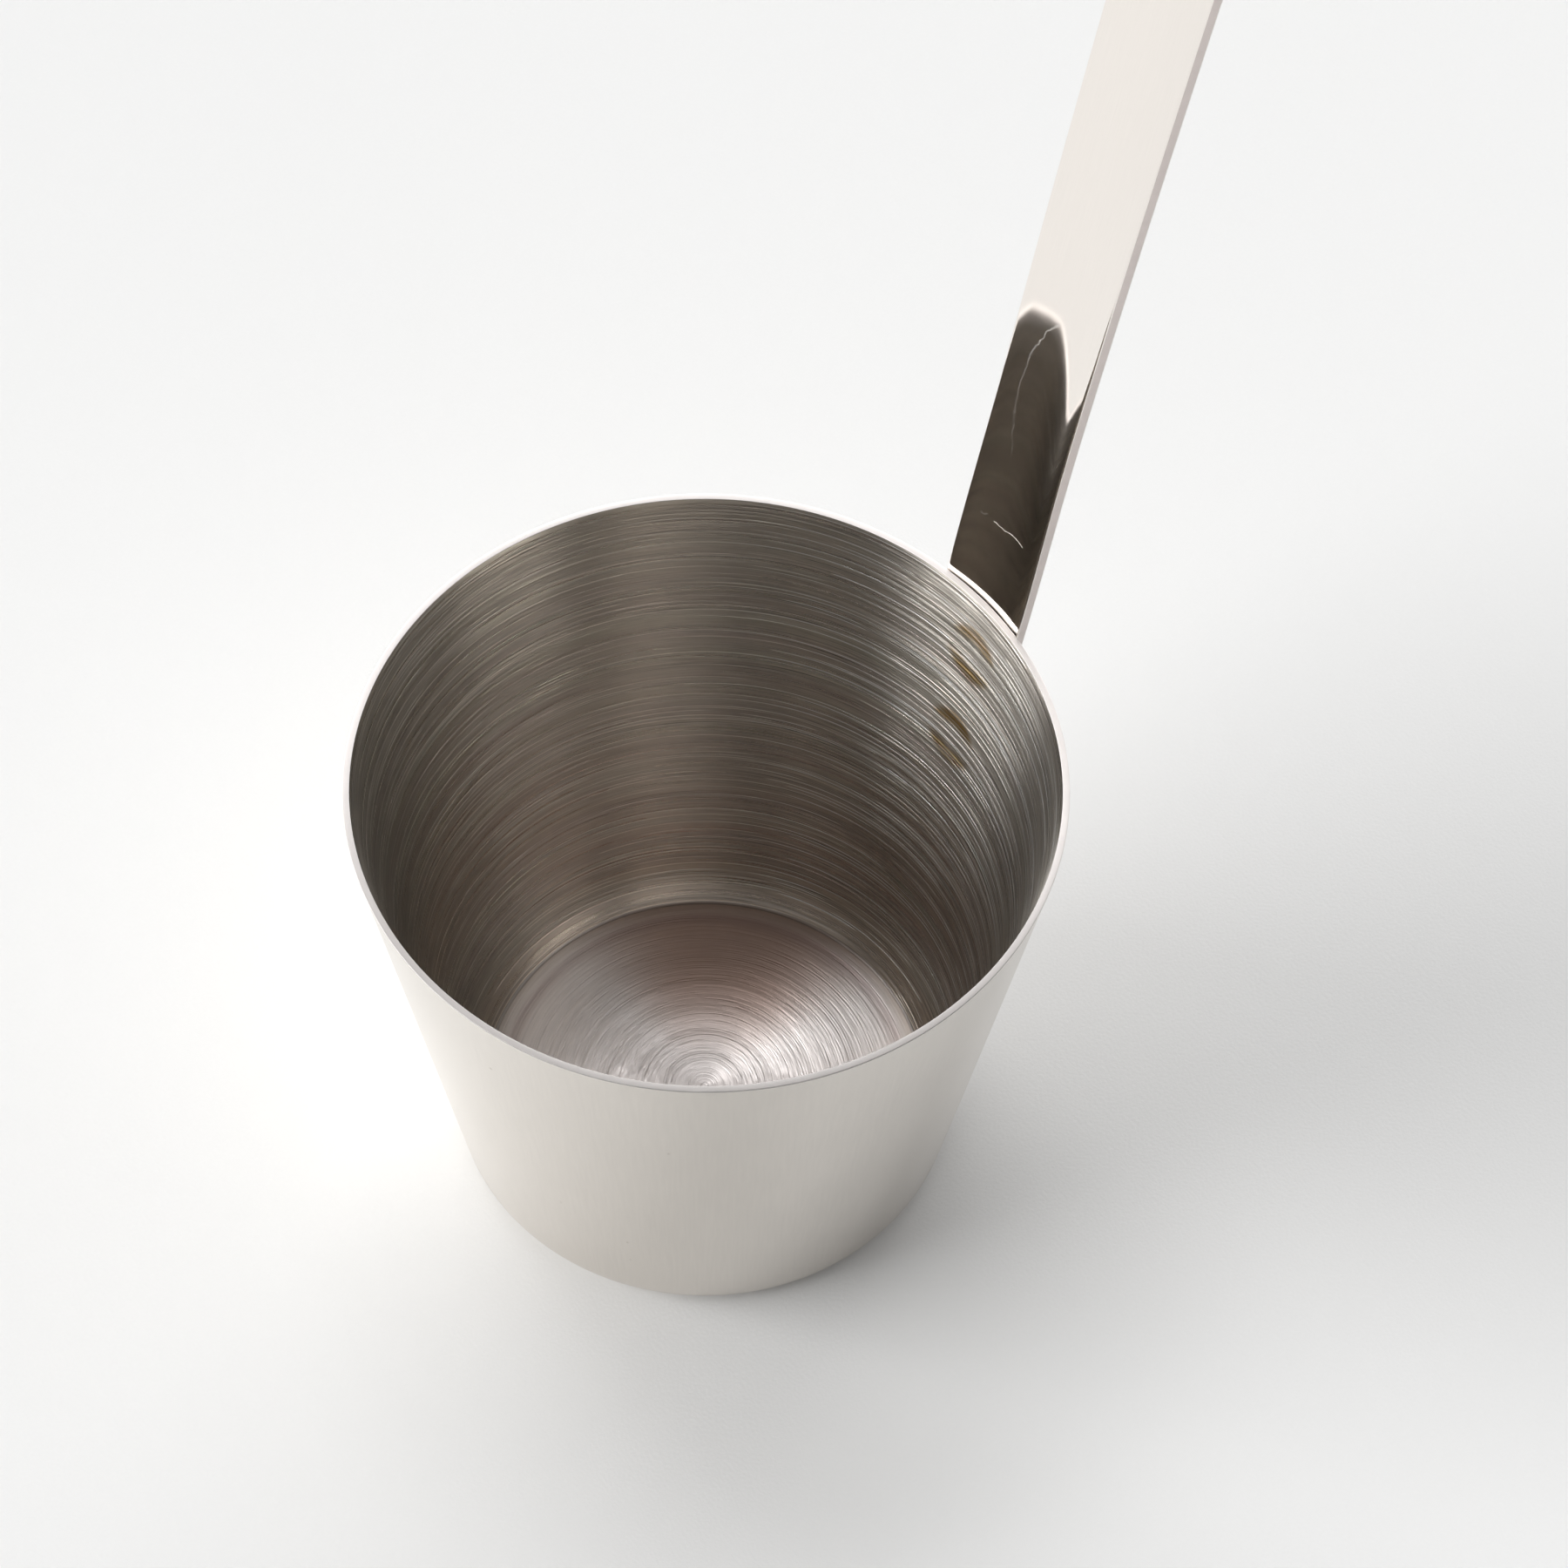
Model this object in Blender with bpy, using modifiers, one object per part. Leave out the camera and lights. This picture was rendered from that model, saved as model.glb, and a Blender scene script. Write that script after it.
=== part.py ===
"""Ladle: a conical stainless-steel cup with a strap handle spot welded to its wall.

The cup stands on its flat base with the centre of its underside at the origin, +Z up.
The handle rises from the cup's +X side. All sizes are in metres.
"""

import math

import bmesh
import bpy
from mathutils import Matrix, Vector

MM = 0.001

# Cup
rim_radius = 35.0 * MM          # outside, at the very top
foot_radius = 25.4 * MM         # outside wall line carried down to the floor
cup_height = 56.2 * MM
sheet = 0.7 * MM                # wall and bottom are one sheet
corner_radius = 2.8 * MM        # outside corner between wall and bottom
corner_steps = 7
rim_edge_radius = 0.2 * MM      # the cut edge is broken and polished
rim_edge_steps = 3
turn_steps = 96

# Handle strap
strap_thickness = 1.3 * MM
strap_foot_width = 10.0 * MM    # at the lower end, against the wall
strap_top_width = 13.6 * MM     # at the hanging end
strap_below_rim = 26.0 * MM     # length lying against the wall
strap_above_rim = 145.0 * MM
strap_section_radius = 22.7 * MM    # the strap is hollow towards the cup
strap_bend_length = 8.0 * MM        # the outward set is made in this length below the rim
strap_set = math.radians(1.7)       # outward set at the rim, beyond the wall's lean
strap_bow = math.radians(3.2)       # further outward lean gained from rim to top
strap_edge_radius = 0.2 * MM
strap_edge_steps = 2
strap_path_step = 1.0 * MM      # the bowed line is followed in steps of this length
strap_columns = 8
strap_row_pitch = 6.0 * MM
end_rows = 5

# Hanging slot near the strap's top end
slot_width = 6.5 * MM
slot_length = 15.0 * MM
slot_end_margin = 4.0 * MM      # metal left between the slot and the end of the strap
slot_steps = 9                  # odd, so that no corner lies on the centre line

# Spot welds, measured down the wall from the rim
weld_radius = 2.5 * MM
weld_thickness = 0.5 * MM
upper_weld_depth = 6.8 * MM
lower_weld_depth = 19.1 * MM
weld_steps = 24

# Clearance that stays between pieces that touch in the real object
fit_gap = 0.3 * MM
merge_distance = 0.001 * MM

# Edges sharper than the first are rounded on the strap, and than the second are shaded sharp
broken_edge_angle = math.radians(50)
sharp_shading_angle = math.radians(35)

# Lean of the wall from the vertical
wall_lean = math.atan((rim_radius - foot_radius) / cup_height)


def along(lean):
    """Unit vector running up a face that leans outward by this angle."""
    return Vector((math.sin(lean), 0.0, math.cos(lean)))


def outward(lean):
    """Unit normal on the outer side of a face that leans outward by this angle."""
    return Vector((math.cos(lean), 0.0, -math.sin(lean)))


def sagitta(half_width, radius):
    """Depth of an arc over this half width."""
    return radius - math.sqrt(radius * radius - half_width * half_width)


def make_material(name, colour, roughness):
    material = bpy.data.materials.new(name)
    material.use_nodes = True
    shader = material.node_tree.nodes["Principled BSDF"]
    shader.inputs["Base Color"].default_value = (*colour, 1.0)
    shader.inputs["Metallic"].default_value = 1.0
    shader.inputs["Roughness"].default_value = roughness
    material.diffuse_color = (*colour, 1.0)
    return material


def make_collection(name):
    collection = bpy.data.collections.new(name)
    bpy.context.scene.collection.children.link(collection)
    return collection


def add_object(name, mesh, collection, material=None):
    """New object of this mesh in the collection."""
    part = bpy.data.objects.new(name, mesh)
    collection.objects.link(part)
    if material:
        mesh.materials.append(material)
    return part


def add_cutter(name, mesh):
    """New object that only cuts others."""
    cutter = add_object(name, mesh, cutters)
    cutter.hide_render = True
    cutter.display_type = "WIRE"
    return cutter


def cut(part, cutter):
    """Take the cutter away from the part."""
    boolean = part.modifiers.new("cut by " + cutter.name, "BOOLEAN")
    boolean.operation = "DIFFERENCE"
    boolean.solver = "EXACT"
    boolean.object = cutter


def arc(centre, radius, start, end, steps):
    """Points (x, z) on an arc, with angles in radians from +X."""
    angles = [start + (end - start) * i / steps for i in range(steps + 1)]
    return [(centre[0] + radius * math.cos(a), centre[1] + radius * math.sin(a)) for a in angles]


def corner_centre(offset, radius):
    """Centre of the foot corner's arc.

    It is tangent to the wall line and the bottom line, both moved inward by offset.
    """
    height = offset + radius
    wall_at_height = foot_radius + height * math.tan(wall_lean)
    return (wall_at_height - height / math.cos(wall_lean), height)


def cup_profile():
    """Half section of the cup: inner floor, inner wall, rim, outer wall, underside."""
    inner_corner = corner_radius - sheet
    to_wall = -wall_lean
    straight_down = -math.pi / 2
    inner = corner_centre(sheet, inner_corner)
    outer = corner_centre(0.0, corner_radius)
    # The rim's cut edge is level, with its two corners broken
    rim_outer_x = rim_radius - rim_edge_radius * (math.tan(wall_lean) + 1 / math.cos(wall_lean))
    rim_inner_x = rim_radius - sheet / math.cos(wall_lean)
    rim_inner_x += rim_edge_radius * (1 / math.cos(wall_lean) - math.tan(wall_lean))
    rim_z = cup_height - rim_edge_radius
    straight_up = math.pi / 2
    to_inside = math.pi - wall_lean
    points = [(0.0, sheet)]
    points += arc(inner, inner_corner, straight_down, to_wall, corner_steps)
    points += arc((rim_inner_x, rim_z), rim_edge_radius, to_inside, straight_up, rim_edge_steps)
    points += arc((rim_outer_x, rim_z), rim_edge_radius, straight_up, to_wall, rim_edge_steps)
    points += arc(outer, corner_radius, to_wall, straight_down, corner_steps)
    points += [(0.0, 0.0)]
    return points


def build_cup():
    """The drawn cup, turned from its half section."""
    profile = bmesh.new()
    chain = [profile.verts.new((x, 0.0, z)) for x, z in cup_profile()]
    for start, end in zip(chain, chain[1:]):
        profile.edges.new((start, end))
    mesh = bpy.data.meshes.new("cup")
    profile.to_mesh(mesh)
    profile.free()
    cup = add_object("cup", mesh, ladle, brushed_steel)
    screw = cup.modifiers.new("turn", "SCREW")
    screw.axis = "Z"
    screw.steps = turn_steps
    screw.render_steps = turn_steps
    screw.use_merge_vertices = True
    screw.merge_threshold = merge_distance
    screw.use_smooth_shade = True
    return cup


def strap_lean(s):
    """Lean of the strap at a distance s along it, measured up from the rim."""
    set_share = min(max(1 + s / strap_bend_length, 0.0), 1.0)
    bow_share = max(s, 0.0) / strap_above_rim
    return wall_lean + strap_set * set_share + strap_bow * bow_share


def strap_width(s):
    """Width of the strap at s: an even taper from foot to top."""
    share = (s + strap_below_rim) / (strap_below_rim + strap_above_rim)
    return strap_foot_width + (strap_top_width - strap_foot_width) * share


def strap_centre_gap():
    """Gap on the centre line that leaves fit_gap where the hollow strap comes nearest."""
    half = strap_width(0.0) / 2
    hollow = sagitta(half, strap_section_radius) - sagitta(half, rim_radius / math.cos(wall_lean))
    return fit_gap + max(hollow, 0.0)


def strap_point(s):
    """Point on the inner face's centre line at s.

    Below the bend the strap lies along the wall, and above it the line is followed in
    short steps.
    """
    start = -strap_bend_length
    rim = Vector((rim_radius, 0.0, cup_height))
    foot_of_bend = rim + along(wall_lean) * start + outward(wall_lean) * strap_centre_gap()
    if s <= start:
        return foot_of_bend + along(wall_lean) * (s - start)
    steps = max(1, round((s - start) / strap_path_step))
    step = (s - start) / steps
    point = foot_of_bend
    for i in range(steps):
        point = point + along(strap_lean(start + (i + 0.5) * step)) * step
    return point


def strap_rows():
    """Rows across the strap as (s, half width), with round ends.

    Each round end is part of a regular polygon, whose last side lies square across the tip.
    """
    foot_round = strap_foot_width / 2
    top_round = strap_top_width / 2
    angles = [math.pi / 2 * (i + 0.5) / (end_rows + 0.5) for i in range(end_rows)]
    straight_start = foot_round - strap_below_rim
    straight_end = strap_above_rim - top_round
    rows = []
    for angle in angles:
        rows.append((straight_start - foot_round * math.cos(angle), foot_round * math.sin(angle)))
    count = round((straight_end - straight_start) / strap_row_pitch)
    for i in range(count + 1):
        s = straight_start + (straight_end - straight_start) * i / count
        rows.append((s, strap_width(s) / 2))
    for angle in reversed(angles):
        rows.append((straight_end + top_round * math.cos(angle), top_round * math.sin(angle)))
    return rows


def build_handle():
    """The strap: its curved inner face, thickened outward, slotted, pocketed and edge broken."""
    sheet_mesh = bmesh.new()
    grid = []
    for s, half in strap_rows():
        centre = strap_point(s)
        inward = -outward(strap_lean(s))
        row = []
        for column in range(strap_columns + 1):
            y = half * (2 * column / strap_columns - 1)
            offset = inward * sagitta(abs(y), strap_section_radius)
            row.append(sheet_mesh.verts.new(centre + Vector((0.0, y, 0.0)) + offset))
        grid.append(row)
    for lower, upper in zip(grid, grid[1:]):
        for i in range(strap_columns):
            sheet_mesh.faces.new((lower[i], upper[i], upper[i + 1], lower[i + 1]))
    mesh = bpy.data.meshes.new("handle")
    sheet_mesh.to_mesh(mesh)
    sheet_mesh.free()
    handle = add_object("handle", mesh, ladle, mirror_steel)
    solidify = handle.modifiers.new("thickness", "SOLIDIFY")
    solidify.thickness = strap_thickness
    solidify.offset = -1.0
    solidify.use_even_offset = True
    cut(handle, slot_cutter())
    cut(handle, weld_pocket("upper_weld_pocket", upper_weld_depth))
    cut(handle, weld_pocket("lower_weld_pocket", lower_weld_depth))
    bevel = handle.modifiers.new("broken edges", "BEVEL")
    bevel.limit_method = "ANGLE"
    bevel.angle_limit = broken_edge_angle
    bevel.width = strap_edge_radius
    bevel.segments = strap_edge_steps
    mesh.shade_smooth()
    mesh.set_sharp_from_angle(angle=sharp_shading_angle)
    return handle


def slot_cutter():
    """Round-ended bar that goes through the strap square to its face."""
    half_straight = (slot_length - slot_width) / 2
    s = strap_above_rim - slot_end_margin - slot_length / 2
    lean = strap_lean(s)
    outline = bpy.data.curves.new("slot outline", "CURVE")
    outline.dimensions = "2D"
    outline.fill_mode = "BOTH"
    outline.extrude = 2 * strap_thickness
    points = arc((half_straight, 0.0), slot_width / 2, -math.pi / 2, math.pi / 2, slot_steps)
    points += arc((-half_straight, 0.0), slot_width / 2, math.pi / 2, 3 * math.pi / 2, slot_steps)
    spline = outline.splines.new("POLY")
    spline.points.add(len(points) - 1)
    for point, (x, y) in zip(spline.points, points):
        point.co = (x, y, 0.0, 1.0)
    spline.use_cyclic_u = True
    flat = bpy.data.objects.new("slot outline", outline)
    cutters.objects.link(flat)
    bpy.context.view_layer.update()
    evaluated = flat.evaluated_get(bpy.context.evaluated_depsgraph_get())
    mesh = bpy.data.meshes.new_from_object(evaluated)
    bpy.data.objects.remove(flat)
    join_loose_caps(mesh)
    cutter = add_cutter("hanging_slot", mesh)
    axes = Matrix((along(lean), Vector((0.0, 1.0, 0.0)), -outward(lean))).transposed()
    cutter.matrix_world = Matrix.Translation(strap_point(s)) @ axes.to_4x4()
    return cutter


def join_loose_caps(mesh):
    """Join the caps of a solid made from a curve to its sides."""
    work = bmesh.new()
    work.from_mesh(mesh)
    bmesh.ops.remove_doubles(work, verts=work.verts, dist=merge_distance)
    bmesh.ops.recalc_face_normals(work, faces=work.faces)
    work.to_mesh(mesh)
    work.free()


def disc_on_wall(name, depth, clear_of_wall, radius, thickness):
    """Round disc square to the wall, its near face clear_of_wall out from the steel."""
    disc = bmesh.new()
    bmesh.ops.create_cone(disc, cap_ends=True, segments=weld_steps, radius1=radius,
                          radius2=radius, depth=thickness)
    bmesh.ops.translate(disc, verts=disc.verts, vec=(0.0, 0.0, thickness / 2))
    mesh = bpy.data.meshes.new(name)
    disc.to_mesh(mesh)
    disc.free()
    normal = outward(wall_lean)
    rim = Vector((rim_radius, 0.0, cup_height))
    place = rim - along(wall_lean) * depth + normal * clear_of_wall
    axes = Matrix((-along(wall_lean), Vector((0.0, 1.0, 0.0)), normal)).transposed()
    return mesh, Matrix.Translation(place) @ axes.to_4x4()


def weld_pocket(name, depth):
    """Hollow in the strap's inner face that holds a weld nugget with fit_gap around it."""
    pocket_depth = weld_thickness + 2 * fit_gap
    mesh, place = disc_on_wall(name, depth, 0.0, weld_radius + fit_gap, pocket_depth)
    cutter = add_cutter(name, mesh)
    cutter.matrix_world = place
    return cutter


def build_weld(name, depth):
    """The nugget of one spot weld, between the wall and the strap."""
    mesh, place = disc_on_wall(name, depth, fit_gap, weld_radius, weld_thickness)
    weld = add_object(name, mesh, ladle, heat_tinted_steel)
    weld.matrix_world = place
    return weld


for old in list(bpy.data.objects):
    bpy.data.objects.remove(old)

ladle = make_collection("ladle")
cutters = make_collection("cutters")

brushed_steel = make_material("brushed steel", colour=(0.55, 0.53, 0.50), roughness=0.35)
mirror_steel = make_material("mirror steel", colour=(0.80, 0.78, 0.75), roughness=0.06)
heat_tinted_steel = make_material("heat-tinted steel", colour=(0.30, 0.22, 0.13), roughness=0.5)

build_cup()
build_handle()
build_weld("spot_weld_upper", upper_weld_depth)
build_weld("spot_weld_lower", lower_weld_depth)
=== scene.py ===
import math

import bmesh
import bpy
from mathutils import Matrix, Vector


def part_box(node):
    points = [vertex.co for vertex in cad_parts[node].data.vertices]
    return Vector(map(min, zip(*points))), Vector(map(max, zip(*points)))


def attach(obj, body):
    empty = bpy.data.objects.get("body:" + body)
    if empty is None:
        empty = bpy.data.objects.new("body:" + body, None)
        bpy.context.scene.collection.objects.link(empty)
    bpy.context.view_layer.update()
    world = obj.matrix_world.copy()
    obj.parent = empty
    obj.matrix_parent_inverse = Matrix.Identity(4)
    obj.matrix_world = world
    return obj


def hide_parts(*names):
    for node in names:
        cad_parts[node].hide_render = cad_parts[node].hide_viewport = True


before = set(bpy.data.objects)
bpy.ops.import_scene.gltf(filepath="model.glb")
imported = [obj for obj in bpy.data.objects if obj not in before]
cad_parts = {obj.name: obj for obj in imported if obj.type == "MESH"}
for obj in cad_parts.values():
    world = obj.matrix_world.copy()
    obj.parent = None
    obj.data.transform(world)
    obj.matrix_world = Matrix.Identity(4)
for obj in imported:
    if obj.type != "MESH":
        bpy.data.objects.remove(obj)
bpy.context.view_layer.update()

# Camera. It looks down into the cup from in front, half a metre away and through a long lens,
# with the handle leaning away to the right. Its place is set out from the rim's centre.
mm = 0.001
rim_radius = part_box("cup")[1].x
rim_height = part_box("cup")[1].z
photo_pixels = 1800
focal_pixels = 6500
sensor_width = 36.0
looks_down = math.radians(55.28)
picture_turn = math.radians(1.47)
handle_turn = math.radians(40.3)    # from the picture's right, away from the camera
rim_in_view = Vector((-7.46, 0.2, -544.1)) * mm    # right, up and back from the camera

level_right = Vector((1.0, 0.0, 0.0))
ahead = Vector((0.0, math.cos(looks_down), -math.sin(looks_down)))
level_up = level_right.cross(ahead)
right = math.cos(picture_turn) * level_right + math.sin(picture_turn) * level_up
up = math.cos(picture_turn) * level_up - math.sin(picture_turn) * level_right
from_picture = Matrix.Rotation(-handle_turn, 3, "Z")    # right, away and up, to the part's axes
camera_axes = from_picture @ Matrix((right, up, -ahead)).transposed()
rim_centre = Vector((0.0, 0.0, rim_height))
lens = bpy.data.cameras.new("camera")
lens.sensor_width = sensor_width
lens.lens = sensor_width * focal_pixels / photo_pixels
camera = bpy.data.objects.new("camera", lens)
camera_place = rim_centre - camera_axes @ rim_in_view
camera.matrix_world = Matrix.Translation(camera_place) @ camera_axes.to_4x4()
bpy.context.scene.collection.objects.link(camera)
bpy.context.scene.camera = camera

# Cup. One round of 0.7 mm stainless sheet, drawn to a cone with a flat bottom. Its inside is
# brushed round and round, its cut rim is ground and rubbed, and its outside is left satin.
gauge = 0.7 * mm
foot_radius = 25.4 * mm         # the outside wall's line carried down to the floor
corner_radius = 2.8 * mm        # outside, where the wall meets the floor
sweep_radius = 6.0 * mm         # the arc that the inside of the wall ends in at the bottom
rim_inner_round = 0.04 * mm
rim_outer_round = 0.06 * mm
lip_height = 0.9 * mm           # the wall's last stretch, which flares a little
lip_flare = 0.05 * mm
lip_easing = 0.03 * mm          # taken off the inside when the rim was ground
lip_steps = 6
ring_line_radius = 22.8 * mm    # pressed line round the bottom, where the sweep begins
ring_line_width = 0.30 * mm
ring_line_depth = 0.10 * mm
wall_top_radius = rim_radius - lip_flare    # the outside wall's line carried up to the rim
wall_slope = (wall_top_radius - foot_radius) / rim_height
wall_lean = math.atan(wall_slope)
cup_columns = 288
weld_side = -0.9 * mm           # the spot welds sit a little to one side of the strap's middle
weld_depths = (6.7 * mm, 18.9 * mm)    # below the rim
weld_ring_radius = 2.55 * mm    # the mark of an electrode's tip
weld_dent_depth = 0.02 * mm
weld_dent_fade = (0.75, 1.1)    # from whole to none, in shares of the mark's radius
merge_distance = 0.001 * mm     # points nearer than this are one

brushed = 0.85                  # how far the brush marks draw out a highlight
scuffed = 0.5
wall_grey = (0.62, 0.56, 0.515)
wall_olive = (0.59, 0.565, 0.50)
wall_foot_brown = (0.62, 0.525, 0.46)
heat_brown = (0.20, 0.09, 0.03)
heat_straw = (0.34, 0.25, 0.09)
# partly painted light: the bottom's steel is given a much lighter colour than the wall's, for the
# bright fans it shows
bottom_lit_pink = (0.925, 0.86, 0.84)
bottom_red_brown = (0.56, 0.35, 0.27)
bottom_band_brown = (0.35, 0.25, 0.24)
bottom_edge_grey = (0.62, 0.58, 0.55)
ring_line_brown = (0.16, 0.13, 0.11)
rim_white = (0.86, 0.82, 0.80)
outside_cream = (0.745, 0.705, 0.655)
speck_brown = (0.33, 0.27, 0.2)
underside_grey = (0.60, 0.58, 0.56)


class Wire:
    """A socket of a node tree. An expression on wires adds its Math nodes to the tree."""

    def __init__(self, board, socket):
        self.board = board
        self.socket = socket

    def __add__(self, other):
        return self.board.maths("ADD", self, other)

    def __sub__(self, other):
        return self.board.maths("SUBTRACT", self, other)

    def __rsub__(self, other):
        return self.board.maths("SUBTRACT", other, self)

    def __mul__(self, other):
        return self.board.maths("MULTIPLY", self, other)

    def __truediv__(self, other):
        return self.board.maths("DIVIDE", self, other)

    def __pow__(self, other):
        return self.board.maths("POWER", self, other)

    def __mod__(self, other):
        return self.board.maths("FLOORED_MODULO", self, other)

    def __abs__(self):
        return self.board.maths("ABSOLUTE", self)

    __radd__ = __add__
    __rmul__ = __mul__


class Board:
    """A node tree that nodes are added to, for a material, the world or a shape."""

    def __init__(self, tree):
        self.tree = tree

    def socket(self, sockets, key):
        """The socket in use that has this number, identifier or name."""
        in_use = [s for s in sockets if s.enabled]
        if isinstance(key, int):
            return in_use[key]
        return next(s for s in in_use if key in (s.identifier, s.name))

    def add(self, kind, settings=None, values=None, out=0):
        """Adds a node with its settings and its sockets' values or wires. Returns an output."""
        node = self.tree.nodes.new(kind)
        for name, value in (settings or {}).items():
            setattr(node, name, value)
        for key, value in (values or {}).items():
            self.plug(self.socket(node.inputs, key), value)
        return Wire(self, self.socket(node.outputs, out))

    def plug(self, socket, value):
        if isinstance(value, Wire):
            self.tree.links.new(value.socket, socket)
        elif socket.type == "RGBA" and len(value) == 3:
            socket.default_value = (*value, 1.0)
        else:
            socket.default_value = value

    def maths(self, operation, *values):
        return self.add("ShaderNodeMath", {"operation": operation}, dict(enumerate(values)))

    def parts(self, vector):
        """X, Y and Z of a vector."""
        return [self.add("ShaderNodeSeparateXYZ", {}, {0: vector}, axis) for axis in "XYZ"]

    def vector(self, x, y, z):
        return self.add("ShaderNodeCombineXYZ", {}, {0: x, 1: y, 2: z})

    def noise(self, vector, detail=2.0):
        values = {"Vector": vector, "Scale": 1.0, "Detail": detail}
        return self.add("ShaderNodeTexNoise", {}, values)

    def step(self, value, low, high):
        """0 below low, 1 above high, and smooth between them."""
        numbers = {"Value": value, "From Min": low, "From Max": high}
        return self.add("ShaderNodeMapRange", {"interpolation_type": "SMOOTHSTEP"}, numbers)

    def mix(self, share, first, second):
        """First colour where share is 0, second where it is 1."""
        return self.add("ShaderNodeMix", {"data_type": "RGBA"}, {0: share, "A": first, "B": second})

    def scaled(self, colour, factor):
        """A colour made lighter or darker by a factor."""
        values = {"Vector": colour, "Scale": factor}
        return self.add("ShaderNodeVectorMath", {"operation": "SCALE"}, values)


def steel(name, finish, anisotropic=0.0):
    """A bare metal. finish(board) gives its colour, its roughness and its relief in metres."""
    material = bpy.data.materials.new(name)
    material.use_nodes = True
    board = Board(material.node_tree)
    shader = material.node_tree.nodes["Principled BSDF"]
    colour, roughness, height = finish(board)
    shader.inputs["Metallic"].default_value = 1.0
    shader.inputs["Anisotropic"].default_value = anisotropic
    if anisotropic:
        shader.inputs["Anisotropic Rotation"].default_value = 0.25    # marks that run round
    board.plug(shader.inputs["Base Color"], colour)
    board.plug(shader.inputs["Roughness"], roughness)
    relief = board.add("ShaderNodeBump", {}, {"Strength": 1.0, "Distance": 1.0, "Height": height})
    board.plug(shader.inputs["Normal"], relief)
    return material


def round_the_axis(board):
    """Place on a turned piece: the direction from its axis as x and y, radius and height."""
    x, y, height = board.parts(board.add("ShaderNodeTexCoord", {}, {}, "Object"))
    radius = (x * x + y * y) ** 0.5
    away = board.maths("MAXIMUM", radius, 0.01 * mm)
    return x / away, y / away, radius, height


def facing(x, y, azimuth):
    """Cosine of the turn between a direction from the axis and this azimuth of the picture."""
    turn = math.radians(azimuth) - handle_turn
    return x * math.cos(turn) + y * math.sin(turn)


def brush_grain(board, place, across, pitch, reach, detail=2.0):
    """Noise in short marks that run round the axis: this pitch apart, a radius over reach long."""
    spot = board.vector(place[0] * reach, place[1] * reach, across / pitch)
    return board.noise(spot, detail)


def brush_marks(board, place, across, pitch, reach, detail=0.0):
    """Noise in level marks: this pitch apart. Each gives way to others in a radius over reach."""
    lines = []
    for shift in (0.0, 500.0):    # far enough apart on the noise to be other lines
        values = {"W": across / pitch + shift, "Scale": 1.0, "Detail": detail}
        lines += [board.add("ShaderNodeTexNoise", {"noise_dimensions": "1D"}, values)]
    patches = brush_grain(board, place, across, pitch=2.5 * pitch, reach=reach, detail=1.0)
    return lines[0] + (lines[1] - lines[0]) * board.step(patches, 0.42, 0.58)


def score_lines(board, place, across, pitch, reach):
    """0 to 1 on thin, deeper lines that the coarsest grit left here and there."""
    return board.step(brush_marks(board, place, across, pitch, reach), 0.62, 0.76)


def specks(board, spot, size, share):
    """0 to 1 on small specks: one of this size in the given share of the cells round spot."""
    settings = {"voronoi_dimensions": "3D", "feature": "F1"}
    away = board.add("ShaderNodeTexVoronoi", settings, {"Vector": spot, "Scale": 1.0}, "Distance")
    colour = board.add("ShaderNodeTexVoronoi", settings, {"Vector": spot, "Scale": 1.0}, "Color")
    lottery = board.parts(colour)[0]
    in_reach = 1 - board.step(away, size * 0.6, size * 1.4)
    return in_reach * board.maths("LESS_THAN", lottery, share)


def ring_line(board, radius):
    """0 to 1 on the pressed line round the bottom."""
    return 1 - board.step(abs(radius - ring_line_radius), 0.06 * mm, 0.26 * mm)


def heat_tint(board, height):
    """0 to 1: the brown rings that the electrodes left round the two welds."""
    x, y, _ = board.parts(board.add("ShaderNodeTexCoord", {}, {}, "Object"))
    tint = 0.0
    for depth in weld_depths:
        side = (y - weld_side) / weld_ring_radius
        rise = (height - (rim_height - depth)) / weld_ring_radius
        distance = (side * side + rise * rise) ** 0.5
        ring = 1 - board.step(abs(distance - 0.98), 0.15, 0.55)
        tint = ring * board.step(abs(rise), 0.25, 0.8) + tint
    return tint * board.step(x, 0.0, 5 * mm)


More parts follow.
